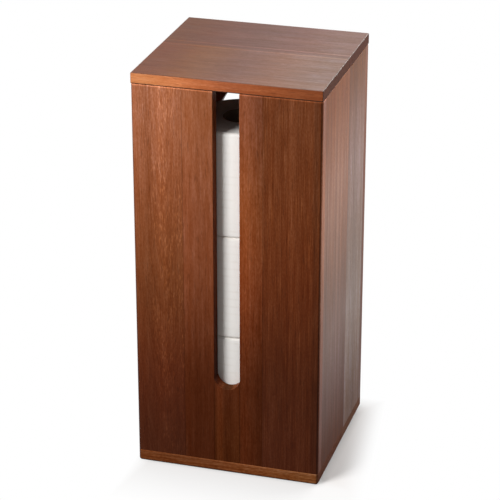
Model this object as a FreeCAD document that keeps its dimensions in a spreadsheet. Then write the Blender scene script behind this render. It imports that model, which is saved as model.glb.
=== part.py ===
import FreeCAD, Part
import os
import Sketcher
from FreeCAD import Vector

# A free-standing wooden box that stores three toilet rolls, one on top of the other.
# The front panel has a tall slot, open at its top edge, that shows how many rolls are left.
# A flat lid lifts off and serves as a small shelf, and an arched opening in the back panel
# lets a hand in behind the rolls. Millimetres. +X is to the right of a person who faces the
# slotted panel, +Y points away from that person, +Z is up. The origin is on the floor, under
# the middle of the box.

doc = FreeCAD.newDocument("RollBox")
size = doc.addObject("Spreadsheet::Sheet", "Size")

DRIVING_SIZES = [
    # The box
    ("BodyWidth", 199.0, "outer width of the box under its lid"),
    ("BodyDepth", 191.0, "outer depth of the box under its lid"),
    ("BodyHeight", 428.5, "height of the top edges of the four walls above the floor"),
    ("PanelThick", 13.0, "thickness of the wall boards"),
    ("BaseThick", 13.0, "thickness of the base boards"),
    ("CornerRound", 3.0, "radius on the four upright corners"),
    ("BaseRound", 2.9, "radius around the bottom of the base"),
    ("EaseRound", 1.0, "radius on the edges that are only eased"),
    # The boards that each wall is glued up from
    ("FrontLeftWidth", 53.0, "width of the outer board left of the slot"),
    ("FrontRightWidth", 61.0, "width of the outer board right of the slot"),
    ("SideFrontWidth", 96.5, "width of the front board of each side"),
    ("BaseFrontWidth", 101.5, "width of the front board of the base"),
    ("LidFrontWidth", 104.5, "width of the front board of the lid"),
    # The slot in the front
    ("SlotWidth", 27.7, "width of the slot"),
    ("SlotFoot", 99.0, "height of the lowest point of the slot's round end"),
    ("SlotEase", 0.5, "radius on the slot's long edges"),
    ("HornLand", 0.3, "least width of a horn beside a round cut-out"),
    # The arched opening in the back
    ("ArchWidth", 133.0, "width of the opening in the back"),
    ("ArchSpring", 106.0, "distance from the wall tops down to where the arch starts to curve"),
    ("SillHeight", 99.0, "height of the lower edge of the opening in the back"),
    # The raised floor
    ("CleatHeight", 12.5, "height of the strips under the raised floor"),
    ("CleatWidth", 16.0, "width of the strips under the raised floor"),
    ("CleatSetback", 8.0, "distance from each end of a strip to the wall"),
    ("FloorThick", 13.0, "thickness of the raised floor"),
    ("FloorGap", 0.5, "gap between the raised floor and the walls"),
    # The lid
    ("LidThick", 11.5, "thickness of the lid boards"),
    ("LidOverhang", 0.1, "distance that the lid stands past the box on every side"),
    ("BattenHeight", 12.0, "height of the strips under the lid"),
    ("BattenWidth", 20.0, "width of the strips under the lid"),
    ("BattenLength", 140.0, "length of the strips under the lid"),
    ("BattenGap", 1.0, "gap between a lid strip and the side of the box"),
    ("BattenRound", 2.0, "radius on the lower edges of the strips under the lid"),
    # The dowels in the four upright corner joints
    ("DowelDia", 6.0, "diameter of a dowel"),
    ("DowelFit", 0.05, "gap around a dowel in its bore"),
    ("DowelInWall", 9.0, "depth of the bore in a front or back board"),
    ("DowelInSide", 20.0, "depth of the bore in the end of a side board"),
    ("DowelEndGap", 0.5, "gap at each end of a dowel"),
    ("DowelEase", 0.6, "chamfer on the ends of a dowel"),
    ("DowelFirst", 40.0, "height of the lowest dowel above the base"),
    ("DowelStep", 112.0, "distance between dowels, one above the other"),
    ("DowelEdge", 20.0, "least distance of the top dowels from the wall tops"),
    # The countersunk screws
    ("HeadDia", 7.0, "diameter of a screw's head"),
    ("ShankDia", 3.6, "diameter of a screw's shank"),
    ("PointLength", 3.0, "length of a screw's point"),
    ("ScrewFit", 0.05, "gap around a screw in its hole"),
    ("ScrewSink", 0.3, "depth of a screw's head below the wood"),
    ("CrossWidth", 1.0, "width of the arms of the cross in a screw's head"),
    ("CrossReach", 2.2, "reach of the arms of the cross from its centre"),
    ("CrossDepth", 1.4, "depth of the cross"),
    ("HoleEndGap", 1.0, "depth of a screw hole past the screw's point"),
    ("BaseScrewLength", 30.0, "length of a screw through the base"),
    ("FloorScrewLength", 34.0, "length of a screw through the raised floor"),
    ("BattenScrewLength", 19.0, "length of a screw through a lid strip"),
    ("FrontScrewNear", 28.0, "distance of the screws under the back sill from the middle"),
    ("FrontScrewFar", 72.0, "distance of the outer front base screws from the middle"),
    ("SideScrewFront", 34.0, "distance of the front side screws ahead of the middle"),
    ("SideScrewRear", 48.0, "distance of the rear side screws behind the middle"),
    ("FloorScrewY", 55.0, "distance of the floor screws from the middle"),
    ("BattenScrewStep", 52.0, "distance between the screws in a lid strip"),
    # The rolls
    ("RollRadius", 54.5, "outer radius of a roll"),
    ("RollHeight", 114.0, "width of the paper, which is the height of an upright roll"),
    ("RollFrontGap", 0.5, "gap between the rolls and the front panel"),
    ("RollShift", 1.5, "distance of the rolls left of the middle"),
    ("RollRimRound", 3.0, "radius on the outer rims of a roll"),
    ("RollBoreRound", 1.5, "radius on the inner rims of a roll"),
    ("CoreRadius", 21.2, "outer radius of the cardboard core"),
    ("CoreWall", 0.8, "wall of the cardboard core"),
    ("CoreFit", 0.05, "gap between the core and the paper"),
]

for row, (alias, millimetres, meaning) in enumerate(DRIVING_SIZES, start=1):
    size.set("A%d" % row, meaning)
    size.set("B%d" % row, str(millimetres))
    size.setAlias("B%d" % row, alias)
doc.recompute()

# Places that several pieces share, written from the sheet
HALF_WIDTH = "(Size.BodyWidth / 2)"
HALF_DEPTH = "(Size.BodyDepth / 2)"
INNER_X = "(Size.BodyWidth / 2 - Size.PanelThick)"
INNER_Y = "(Size.BodyDepth / 2 - Size.PanelThick)"
SLOT_HALF = "(Size.SlotWidth / 2)"
ARCH_HALF = "(Size.ArchWidth / 2)"
LID_HALF_X = "(Size.BodyWidth / 2 + Size.LidOverhang)"
LID_HALF_Y = "(Size.BodyDepth / 2 + Size.LidOverhang)"
LID_TOP = "(Size.BodyHeight + Size.LidThick)"
CLEAT_TOP = "(Size.BaseThick + Size.CleatHeight)"
FLOOR_TOP = "(Size.BaseThick + Size.CleatHeight + Size.FloorThick)"
BATTEN_FOOT = "(Size.BodyHeight - Size.BattenHeight)"
BATTEN_OUTER = "(Size.BodyWidth / 2 - Size.PanelThick - Size.BattenGap)"
BATTEN_MIDDLE = "(Size.BodyWidth / 2 - Size.PanelThick - Size.BattenGap - Size.BattenWidth / 2)"
CLEAT_MIDDLE = "(Size.BodyWidth / 2 - Size.PanelThick - Size.CleatWidth / 2)"
WALL_MIDDLE_X = "(Size.BodyWidth / 2 - Size.PanelThick / 2)"
WALL_MIDDLE_Y = "(Size.BodyDepth / 2 - Size.PanelThick / 2)"
STILE_MIDDLE = "((Size.BodyWidth + Size.ArchWidth) / 4)"
FRONT_LEFT_SEAM = "(Size.FrontLeftWidth - Size.BodyWidth / 2)"
FRONT_RIGHT_SEAM = "(Size.BodyWidth / 2 - Size.FrontRightWidth)"
SIDE_SEAM = "(Size.PanelThick + Size.SideFrontWidth - Size.BodyDepth / 2)"
BASE_SEAM = "(Size.BaseFrontWidth - Size.BodyDepth / 2)"
LID_SEAM = "(Size.LidFrontWidth - Size.BodyDepth / 2 - Size.LidOverhang)"
ROLL_X = "(-Size.RollShift)"
ROLL_Y = "(Size.PanelThick + Size.RollFrontGap + Size.RollRadius - Size.BodyDepth / 2)"
PAPER_BORE = "(Size.CoreRadius + Size.CoreFit)"
BATTEN_SCREW_COUNT = 3

# Two places nearer than this, in millimetres, are one place
SAME_PLACE = 1e-4

low_corner = {}


def minus(place):
    return "(-%s)" % place


def number(words):
    """The value in millimetres of a place or size written from the sheet."""
    found = size.evalExpression(words)
    return float(getattr(found, "Value", found))


def start_body(label, low):
    """An empty body whose own origin stands at low, three places in the frame of the box."""
    body = doc.addObject("PartDesign::Body", label)
    body.Label = label
    for axis, place in zip("xyz", low):
        body.setExpression("Placement.Base." + axis, place)
    low_corner[body.Name] = low
    return body


def start_sketch(body, name, role, shift=("0", "0", "0")):
    """A sketch on one of the body's own planes, moved by shift along the sketch's axes."""
    sketch = body.newObject("Sketcher::SketchObject", name)
    plane = [part for part in body.Origin.OriginFeatures if part.Role == role][0]
    sketch.AttachmentSupport = [(plane, "")]
    sketch.MapMode = "FlatFace"
    for axis, place in zip("xyz", shift):
        sketch.setExpression("AttachmentOffset.Base." + axis, place)
    return sketch


def hold(sketch, name, kind, geometry, point, words):
    """Holds a point at a distance from the sketch's origin, along X or Y."""
    rule = Sketcher.Constraint(kind, -1, 1, geometry, point, number(words))
    index = sketch.addConstraint(rule)
    sketch.renameConstraint(index, name)
    sketch.setExpression("Constraints." + name, words)


def outline(sketch, corners):
    """A closed outline of straight lines through corners, each a pair of places."""
    spots = [Vector(number(across), number(up), 0) for across, up in corners]
    lines = []
    for start, end in zip(spots, spots[1:] + spots[:1]):
        lines.append(sketch.addGeometry(Part.LineSegment(start, end), False))
    for line, following in zip(lines, lines[1:] + lines[:1]):
        sketch.addConstraint(Sketcher.Constraint("Coincident", line, 2, following, 1))
    for line, (across, up) in zip(lines, corners):
        hold(sketch, "across%d" % line, "DistanceX", line, 1, across)
        hold(sketch, "up%d" % line, "DistanceY", line, 1, up)


def circles(sketch, centres, radius):
    """Circles of one radius around centres, each a pair of places."""
    for across, up in centres:
        middle = Vector(number(across), number(up), 0)
        ring = sketch.addGeometry(Part.Circle(middle, Vector(0, 0, 1), number(radius)), False)
        hold(sketch, "across%d" % ring, "DistanceX", ring, 3, across)
        hold(sketch, "up%d" % ring, "DistanceY", ring, 3, up)
        index = sketch.addConstraint(Sketcher.Constraint("Radius", ring, number(radius)))
        sketch.renameConstraint(index, "radius%d" % ring)
        sketch.setExpression("Constraints.radius%d" % ring, radius)


def pad(body, sketch, length):
    feature = body.newObject("PartDesign::Pad", sketch.Name + "_pad")
    feature.Profile = sketch
    feature.setExpression("Length", length)
    doc.recompute()
    return feature


def pocket(body, sketch, depth, backwards=False):
    """Cuts the sketch into the body and makes sure that wood is taken away."""
    before = body.Shape.Volume
    feature = body.newObject("PartDesign::Pocket", sketch.Name + "_pocket")
    feature.Profile = sketch
    feature.Reversed = backwards
    feature.setExpression("Length", depth)
    doc.recompute()
    if not body.Shape.Volume < before:
        raise ValueError("%s cuts nothing" % feature.Name)
    return feature


def edges_between(shape, pairs):
    """Names of the edges that lie on both sides of the bounding box named in each pair."""
    box = shape.BoundBox
    places = {"left": ("x", box.XMin), "right": ("x", box.XMax), "front": ("y", box.YMin),
              "back": ("y", box.YMax), "under": ("z", box.ZMin), "top": ("z", box.ZMax)}
    names = []
    for index, edge in enumerate(shape.Edges, start=1):
        ends = [vertex.Point for vertex in edge.Vertexes]
        for pair in pairs:
            wanted = [places[side] for side in pair]
            if all(abs(getattr(end, axis) - place) < SAME_PLACE for axis, place in wanted for end in ends):
                names.append("Edge%d" % index)
    return names


def round_edges(body, name, radius, pairs):
    """Rounds the edges where the sides named in each pair meet."""
    base = body.Tip
    feature = body.newObject("PartDesign::Fillet", body.Name + "_" + name)
    feature.Base = (base, edges_between(base.Shape, pairs))
    feature.setExpression("Radius", radius)
    doc.recompute()
    return feature


def board(label, low, high):
    """A squared board between two opposite corners in the frame of the box."""
    body = start_body(label, low)
    sketch = start_sketch(body, label + "_outline", "XY_Plane")
    width, depth, height = ["(%s - %s)" % (end, start) for end, start in zip(high, low)]
    outline(sketch, [("0", "0"), (width, "0"), (width, depth), ("0", depth)])
    pad(body, sketch, height)
    return body


def inside(body, place, axis):
    """A place in the frame of the box, measured from the body's own origin."""
    return "(%s - %s)" % (place, low_corner[body.Name]["xyz".index(axis)])


# The dowels stand one above the other in each upright corner joint, as many as the wall has room for
DOWEL_ROOM = "(Size.BodyHeight - Size.BaseThick - Size.DowelFirst - Size.DowelEdge)"
DOWEL_COUNT = int(number("%s / Size.DowelStep" % DOWEL_ROOM)) + 1
DOWEL_HEIGHTS = ["(Size.BaseThick + Size.DowelFirst + %d * Size.DowelStep)" % step
                 for step in range(DOWEL_COUNT)]
DOWEL_BORE = "(Size.DowelDia / 2 + Size.DowelFit)"


def dowel_bores(body, corner_x, joint_y, depth, towards_back):
    """A column of bores that start at the joint's plane and run towards the back or front."""
    shift = ("0", "0", minus(inside(body, joint_y, "y")))
    sketch = start_sketch(body, body.Name + "_bores", "XZ_Plane", shift)
    across = inside(body, corner_x, "x")
    circles(sketch, [(across, inside(body, height, "z")) for height in DOWEL_HEIGHTS], DOWEL_BORE)
    pocket(body, sketch, depth, backwards=not towards_back)


def screw_hole(body, name, x, y, seat_z, upwards, depth, countersunk):
    """A hole for one screw whose head sits at seat_z and whose point looks up or down."""
    side = "1" if upwards else "-1"
    flare = "(Size.HeadDia / 2 + Size.ScrewSink + Size.ScrewFit)"
    bore = "(Size.ShankDia / 2 + Size.ScrewFit)"
    shift = (inside(body, x, "x"), inside(body, seat_z, "z"), minus(inside(body, y, "y")))
    sketch = start_sketch(body, "%s_%s" % (body.Name, name), "XZ_Plane", shift)
    end = "(%s * %s)" % (side, depth)
    if countersunk:
        neck = "(%s * (%s - %s))" % (side, flare, bore)
        corners = [("0", "0"), (flare, "0"), (bore, neck), (bore, end), ("0", end)]
    else:
        corners = [("0", "0"), (bore, "0"), (bore, end), ("0", end)]
    outline(sketch, corners)
    before = body.Shape.Volume
    feature = body.newObject("PartDesign::Groove", sketch.Name + "_groove")
    feature.Profile = sketch
    feature.ReferenceAxis = (sketch, ["V_Axis"])
    feature.Angle = 360
    doc.recompute()
    if not body.Shape.Volume < before:
        raise ValueError("%s cuts nothing" % feature.Name)


def screws(label, places, seat_z, upwards, length):
    """Countersunk screws with a cross in the head, all with heads at seat_z."""
    body = start_body(label, ("0", "0", "0"))
    side = "1" if upwards else "-1"
    head = "(Size.HeadDia / 2)"
    shank = "(Size.ShankDia / 2)"
    sunk = "(%s * Size.ScrewSink)" % side
    neck = "(%s * (Size.ScrewSink + (Size.HeadDia - Size.ShankDia) / 2))" % side
    shoulder = "(%s * (%s - Size.PointLength))" % (side, length)
    point = "(%s * %s)" % (side, length)
    cross_floor = "(%s + %s * (Size.ScrewSink + Size.CrossDepth))" % (seat_z, side)
    arm = "(Size.CrossWidth / 2)"
    reach = "Size.CrossReach"
    for index, (x, y) in enumerate(places):
        sketch = start_sketch(body, "%s_%d" % (label, index), "XZ_Plane", (x, seat_z, minus(y)))
        outline(sketch, [("0", sunk), (head, sunk), (shank, neck), (shank, shoulder), ("0", point)])
        feature = body.newObject("PartDesign::Revolution", sketch.Name + "_turned")
        feature.Profile = sketch
        feature.ReferenceAxis = (sketch, ["V_Axis"])
        feature.Angle = 360
    doc.recompute()
    for index, (x, y) in enumerate(places):
        cross = start_sketch(body, "%s_cross_%d" % (label, index), "XY_Plane", (x, y, cross_floor))
        outline(cross, [
            (arm, arm), (reach, arm), (reach, minus(arm)), (arm, minus(arm)),
            (arm, minus(reach)), (minus(arm), minus(reach)), (minus(arm), minus(arm)),
            (minus(reach), minus(arm)), (minus(reach), arm), (minus(arm), arm),
            (minus(arm), reach), (arm, reach)])
        pocket(body, cross, "Size.CrossDepth", backwards=not upwards)
    return body


# Base: two boards side by side, grain from left to right. The screws under the two front boards
# beside the slot stand at a share of their board's width, counted from its left edge.
INNER_SCREW_SHARES = (0.5666, 0.574)


def across_board(low, high, share):
    return "(%s + %s * (%s - %s))" % (low, share, high, low)


BASE_SCREWS_FRONT = [
    (minus("Size.FrontScrewFar"), minus(WALL_MIDDLE_Y)),
    (across_board(FRONT_LEFT_SEAM, minus(SLOT_HALF), INNER_SCREW_SHARES[0]), minus(WALL_MIDDLE_Y)),
    (across_board(SLOT_HALF, FRONT_RIGHT_SEAM, INNER_SCREW_SHARES[1]), minus(WALL_MIDDLE_Y)),
    ("Size.FrontScrewFar", minus(WALL_MIDDLE_Y)),
    (minus(WALL_MIDDLE_X), "(-Size.SideScrewFront)"),
    (WALL_MIDDLE_X, "(-Size.SideScrewFront)"),
]
BASE_SCREWS_REAR = [
    (minus(WALL_MIDDLE_X), "Size.SideScrewRear"),
    (WALL_MIDDLE_X, "Size.SideScrewRear"),
    (minus(STILE_MIDDLE), WALL_MIDDLE_Y),
    (minus("Size.FrontScrewNear"), WALL_MIDDLE_Y),
    ("Size.FrontScrewNear", WALL_MIDDLE_Y),
    (STILE_MIDDLE, WALL_MIDDLE_Y),
]
FLOOR_SCREWS = [(x, y) for x in (minus(CLEAT_MIDDLE), CLEAT_MIDDLE)
                for y in ("(-Size.FloorScrewY)", "Size.FloorScrewY")]
SCREW_IN_WALL = "(Size.BaseScrewLength - Size.BaseThick + Size.HoleEndGap)"
SCREW_IN_BASE = "(Size.FloorScrewLength - Size.FloorThick - Size.CleatHeight + Size.HoleEndGap)"


def base_board(label, low_y, high_y, outer, screw_places, floor_places):
    body = board(label, (minus(HALF_WIDTH), low_y, "0"), (HALF_WIDTH, high_y, "Size.BaseThick"))
    round_edges(body, "corners", "Size.CornerRound", [("left", outer), ("right", outer)])
    round_edges(body, "foot", "Size.BaseRound", [(outer, "under")])
    for index, (x, y) in enumerate(screw_places):
        screw_hole(body, "wall_screw_%d" % index, x, y, "0", True, "Size.BaseThick", True)
    for index, (x, y) in enumerate(floor_places):
        screw_hole(body, "floor_screw_%d" % index, x, y, "Size.BaseThick", False, SCREW_IN_BASE, False)
    return body


def wall_screw_holes(body, places):
    """Holes in the lower ends of a wall board for the screws that come up through the base."""
    for index, (x, y) in enumerate(places):
        screw_hole(body, "screw_%d" % index, x, y, "Size.BaseThick", True, SCREW_IN_WALL, False)


front_floor_screws = [place for place in FLOOR_SCREWS if place[1] != "Size.FloorScrewY"]
rear_floor_screws = [place for place in FLOOR_SCREWS if place[1] == "Size.FloorScrewY"]
parts = [
    base_board("base_front_board", minus(HALF_DEPTH), BASE_SEAM, "front",
               BASE_SCREWS_FRONT, front_floor_screws),
    base_board("base_rear_board", BASE_SEAM, HALF_DEPTH, "back",
               BASE_SCREWS_REAR, rear_floor_screws),
]


# Front panel: two boards each side of the slot and a short block under the slot
def front_board(label, low_x, high_x):
    low = (low_x, minus(HALF_DEPTH), "Size.BaseThick")
    return board(label, low, (high_x, minus(INNER_Y), "Size.BodyHeight"))


front_left_outer = front_board("front_left_outer_board", minus(HALF_WIDTH), FRONT_LEFT_SEAM)
front_left_inner = front_board("front_left_inner_board", FRONT_LEFT_SEAM, minus(SLOT_HALF))
front_right_inner = front_board("front_right_inner_board", SLOT_HALF, FRONT_RIGHT_SEAM)
front_right_outer = front_board("front_right_outer_board", FRONT_RIGHT_SEAM, HALF_WIDTH)

round_edges(front_left_outer, "corner", "Size.CornerRound", [("left", "front")])
round_edges(front_right_outer, "corner", "Size.CornerRound", [("right", "front")])
for front in (front_left_outer, front_left_inner, front_right_inner, front_right_outer):
    round_edges(front, "top", "Size.EaseRound", [("front", "top")])
round_edges(front_left_inner, "slot", "Size.SlotEase", [("right", "front"), ("right", "back")])
round_edges(front_right_inner, "slot", "Size.SlotEase", [("left", "front"), ("left", "back")])

dowel_bores(front_left_outer, minus(WALL_MIDDLE_X), minus(INNER_Y), "Size.DowelInWall", False)
dowel_bores(front_right_outer, WALL_MIDDLE_X, minus(INNER_Y), "Size.DowelInWall", False)
wall_screw_holes(front_left_outer, BASE_SCREWS_FRONT[0:1])
wall_screw_holes(front_left_inner, BASE_SCREWS_FRONT[1:2])
wall_screw_holes(front_right_inner, BASE_SCREWS_FRONT[2:3])
wall_screw_holes(front_right_outer, BASE_SCREWS_FRONT[3:4])

# The block under the slot ends in a hollow half round. Its horns stop where they are HornLand wide.
SLOT_CENTRE = "(Size.SlotFoot + Size.SlotWidth / 2)"
HORN_DROP = "sqrt(Size.SlotWidth * Size.HornLand - Size.HornLand * Size.HornLand)"
front_block = board("front_centre_block", (minus(SLOT_HALF), minus(HALF_DEPTH), "Size.BaseThick"),
                    (SLOT_HALF, minus(INNER_Y), "(%s - %s)" % (SLOT_CENTRE, HORN_DROP)))
slot_end = start_sketch(front_block, "slot_end", "XZ_Plane")
circles(slot_end, [(SLOT_HALF, inside(front_block, SLOT_CENTRE, "z"))], SLOT_HALF)
pocket(front_block, slot_end, "Size.PanelThick", backwards=False)
parts += [front_left_outer, front_left_inner, front_block, front_right_inner, front_right_outer]


# Sides: two boards each, between the front and back panels
def side_board(label, low_x, high_x, low_y, high_y, outer):
    body = board(label, (low_x, low_y, "Size.BaseThick"), (high_x, high_y, "Size.BodyHeight"))
    round_edges(body, "top", "Size.EaseRound", [(outer, "top")])
    return body


SIDES = [("left", minus(HALF_WIDTH), minus(INNER_X), minus(WALL_MIDDLE_X)),
         ("right", INNER_X, HALF_WIDTH, WALL_MIDDLE_X)]
for index, (hand, low_x, high_x, middle_x) in enumerate(SIDES):
    ahead = side_board(hand + "_side_front_board", low_x, high_x, minus(INNER_Y), SIDE_SEAM, hand)
    dowel_bores(ahead, middle_x, minus(INNER_Y), "Size.DowelInSide", True)
    wall_screw_holes(ahead, BASE_SCREWS_FRONT[4 + index:5 + index])
    behind = side_board(hand + "_side_rear_board", low_x, high_x, SIDE_SEAM, INNER_Y, hand)
    dowel_bores(behind, middle_x, INNER_Y, "Size.DowelInSide", False)
    wall_screw_holes(behind, BASE_SCREWS_REAR[index:index + 1])
    parts += [ahead, behind]


# Back panel: a tall board each side of the arched opening, a head over it and a sill under it
def back_board(label, low_x, high_x, low_z, high_z):
    return board(label, (low_x, INNER_Y, low_z), (high_x, HALF_DEPTH, high_z))


back_left = back_board("back_left_board", minus(HALF_WIDTH), minus(ARCH_HALF),
                       "Size.BaseThick", "Size.BodyHeight")
back_right = back_board("back_right_board", ARCH_HALF, HALF_WIDTH,
                        "Size.BaseThick", "Size.BodyHeight")
back_sill = back_board("back_sill", minus(ARCH_HALF), ARCH_HALF, "Size.BaseThick", "Size.SillHeight")
round_edges(back_left, "corner", "Size.CornerRound", [("left", "back")])
round_edges(back_right, "corner", "Size.CornerRound", [("right", "back")])
round_edges(back_left, "top", "Size.EaseRound", [("back", "top")])
round_edges(back_right, "top", "Size.EaseRound", [("back", "top")])
round_edges(back_sill, "top", "Size.EaseRound", [("front", "top"), ("back", "top")])
dowel_bores(back_left, minus(WALL_MIDDLE_X), INNER_Y, "Size.DowelInWall", True)
dowel_bores(back_right, WALL_MIDDLE_X, INNER_Y, "Size.DowelInWall", True)
wall_screw_holes(back_left, BASE_SCREWS_REAR[2:3])
wall_screw_holes(back_sill, BASE_SCREWS_REAR[3:5])
wall_screw_holes(back_right, BASE_SCREWS_REAR[5:6])

ARCH_HORN_RISE = "sqrt(Size.ArchWidth * Size.HornLand - Size.HornLand * Size.HornLand)"
back_head = back_board("back_arch_head", minus(ARCH_HALF), ARCH_HALF,
                       "(Size.BodyHeight - Size.ArchSpring + %s)" % ARCH_HORN_RISE, "Size.BodyHeight")
arch = start_sketch(back_head, "arch", "XZ_Plane")
circles(arch, [(ARCH_HALF, "(-%s)" % ARCH_HORN_RISE)], ARCH_HALF)
pocket(back_head, arch, "Size.PanelThick", backwards=False)
round_edges(back_head, "top", "Size.EaseRound", [("back", "top")])
parts += [back_left, back_head, back_sill, back_right]

# Raised floor on two strips
CLEATS = [("left", minus(INNER_X), "(Size.CleatWidth - %s)" % INNER_X, minus(CLEAT_MIDDLE)),
          ("right", "(%s - Size.CleatWidth)" % INNER_X, INNER_X, CLEAT_MIDDLE)]
CLEAT_END = "(%s - Size.CleatSetback)" % INNER_Y
for hand, low_x, high_x, middle_x in CLEATS:
    cleat = board("floor_cleat_" + hand, (low_x, minus(CLEAT_END), "Size.BaseThick"),
                  (high_x, CLEAT_END, CLEAT_TOP))
    for index, (x, y) in enumerate(place for place in FLOOR_SCREWS if place[0] == middle_x):
        screw_hole(cleat, "screw_%d" % index, x, y, CLEAT_TOP, False, "Size.CleatHeight", False)
    parts.append(cleat)

FLOOR_X = "(%s - Size.FloorGap)" % INNER_X
FLOOR_Y = "(%s - Size.FloorGap)" % INNER_Y
raised_floor = board("raised_floor", (minus(FLOOR_X), minus(FLOOR_Y), CLEAT_TOP),
                     (FLOOR_X, FLOOR_Y, FLOOR_TOP))
for index, (x, y) in enumerate(FLOOR_SCREWS):
    screw_hole(raised_floor, "screw_%d" % index, x, y, FLOOR_TOP, False, "Size.FloorThick", True)
parts.append(raised_floor)

# Lid: two boards held by two strips that drop between the sides of the box
BATTEN_SCREWS = [(x, "(%d * Size.BattenScrewStep)" % step)
                 for x in (minus(BATTEN_MIDDLE), BATTEN_MIDDLE)
                 for step in range(-(BATTEN_SCREW_COUNT // 2), BATTEN_SCREW_COUNT // 2 + 1)]
SCREW_IN_LID = "(Size.BattenScrewLength - Size.BattenHeight + Size.HoleEndGap)"


def lid_board(label, low_y, high_y, outer, screw_places):
    body = board(label, (minus(LID_HALF_X), low_y, "Size.BodyHeight"), (LID_HALF_X, high_y, LID_TOP))
    round_edges(body, "ease", "Size.EaseRound", [
        ("left", outer), ("right", outer), (outer, "top"), (outer, "under"),
        ("left", "top"), ("left", "under"), ("right", "top"), ("right", "under")])
    for index, (x, y) in enumerate(screw_places):
        screw_hole(body, "screw_%d" % index, x, y, "Size.BodyHeight", True, SCREW_IN_LID, False)
    return body


lid_seam = number(LID_SEAM)
screws_ahead = [place for place in BATTEN_SCREWS if number(place[1]) < lid_seam]
screws_behind = [place for place in BATTEN_SCREWS if number(place[1]) >= lid_seam]
parts.append(lid_board("lid_front_board", minus(LID_HALF_Y), LID_SEAM, "front", screws_ahead))
parts.append(lid_board("lid_rear_board", LID_SEAM, LID_HALF_Y, "back", screws_behind))

BATTENS = [("left", minus(BATTEN_OUTER), "(Size.BattenWidth - %s)" % BATTEN_OUTER, minus(BATTEN_MIDDLE)),
           ("right", "(%s - Size.BattenWidth)" % BATTEN_OUTER, BATTEN_OUTER, BATTEN_MIDDLE)]
for hand, low_x, high_x, middle_x in BATTENS:
    batten = board("lid_batten_" + hand, (low_x, "(-Size.BattenLength / 2)", BATTEN_FOOT),
                   (high_x, "(Size.BattenLength / 2)", "Size.BodyHeight"))
    round_edges(batten, "ease", "Size.BattenRound", [
        ("left", "under"), ("right", "under"), ("front", "under"), ("back", "under")])
    for index, (x, y) in enumerate(place for place in BATTEN_SCREWS if place[0] == middle_x):
        screw_hole(batten, "screw_%d" % index, x, y, BATTEN_FOOT, True, "Size.BattenHeight", True)
    parts.append(batten)

# Fasteners, each kind one group of separate solids
parts.append(screws("base_screws", BASE_SCREWS_FRONT + BASE_SCREWS_REAR, "0", True,
                    "Size.BaseScrewLength"))
parts.append(screws("floor_screws", FLOOR_SCREWS, FLOOR_TOP, False, "Size.FloorScrewLength"))
parts.append(screws("lid_batten_screws", BATTEN_SCREWS, BATTEN_FOOT, True, "Size.BattenScrewLength"))


def dowels(label, first_y):
    """The dowels of two upright joints, which start at first_y and run towards the back."""
    body = start_body(label, ("0", first_y, "0"))
    sketch = start_sketch(body, label + "_ends", "XZ_Plane")
    circles(sketch, [(x, height) for x in (minus(WALL_MIDDLE_X), WALL_MIDDLE_X)
                     for height in DOWEL_HEIGHTS], "(Size.DowelDia / 2)")
    rods = pad(body, sketch, "(Size.DowelInWall + Size.DowelInSide - 2 * Size.DowelEndGap)")
    rods.Reversed = True
    doc.recompute()
    ease = body.newObject("PartDesign::Chamfer", label + "_ease")
    ease.Base = (rods, ["Edge%d" % index for index, edge in enumerate(rods.Shape.Edges, start=1)
                        if edge.Curve.TypeId == "Part::GeomCircle"])
    ease.setExpression("Size", "Size.DowelEase")
    doc.recompute()
    return body


parts.append(dowels("front_corner_dowels", "(-%s - Size.DowelInWall + Size.DowelEndGap)" % INNER_Y))
parts.append(dowels("rear_corner_dowels", "(%s - Size.DowelInSide + Size.DowelEndGap)" % INNER_Y))


# Rolls: paper wound on a cardboard core, stacked upright on the raised floor
def turned(label, order, inner, outer):
    """A ring of the roll's height, at its place in the stack."""
    body = start_body(label, (ROLL_X, ROLL_Y, "(%s + %d * Size.RollHeight)" % (FLOOR_TOP, order)))
    sketch = start_sketch(body, label + "_section", "XZ_Plane")
    outline(sketch, [(inner, "0"), (outer, "0"), (outer, "Size.RollHeight"), (inner, "Size.RollHeight")])
    feature = body.newObject("PartDesign::Revolution", label + "_turned")
    feature.Profile = sketch
    feature.ReferenceAxis = (sketch, ["V_Axis"])
    feature.Angle = 360
    doc.recompute()
    return body


def rim_edges(shape, radius):
    """Names of the round edges of one radius."""
    return ["Edge%d" % index for index, edge in enumerate(shape.Edges, start=1)
            if edge.Curve.TypeId == "Part::GeomCircle" and abs(edge.Curve.Radius - radius) < SAME_PLACE]


def soften_rims(body, name, at_radius, by_radius):
    base = body.Tip
    feature = body.newObject("PartDesign::Fillet", body.Name + "_" + name)
    feature.Base = (base, rim_edges(base.Shape, number(at_radius)))
    feature.setExpression("Radius", by_radius)
    doc.recompute()


for order, where in enumerate(("bottom", "middle", "top")):
    paper = turned(where + "_roll_paper", order, PAPER_BORE, "Size.RollRadius")
    soften_rims(paper, "outer_rims", "Size.RollRadius", "Size.RollRimRound")
    soften_rims(paper, "inner_rims", PAPER_BORE, "Size.RollBoreRound")
    core = turned(where + "_roll_core", order, "(Size.CoreRadius - Size.CoreWall)", "Size.CoreRadius")
    parts += [paper, core]

doc.recompute()
for item in doc.Objects:
    if "Invalid" in item.State or "Error" in item.State:
        raise ValueError("%s failed: %s" % (item.Name, item.State))
for part in parts:
    if part.Shape.isNull() or not part.Shape.isValid():
        raise ValueError("%s has no valid shape" % part.Label)

os.makedirs("parts", exist_ok=True)
for part in parts:
    part.Shape.exportStep("parts/%s.step" % part.Label)
    print("%-26s %2d solids %10.1f mm3" % (part.Label, len(part.Shape.Solids), part.Shape.Volume))
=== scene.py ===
# %% [markdown]
# # A lidded wooden box for three toilet rolls
# The real object is a box of edge-glued boards, stained brown and finished with satin lacquer.
# Its boards are exact already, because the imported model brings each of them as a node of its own.
# So this lesson dresses those boards in grain, winds the paper rolls, and lights the whole
# as a small studio would. Lengths are metres, except where a name says mm.

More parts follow.
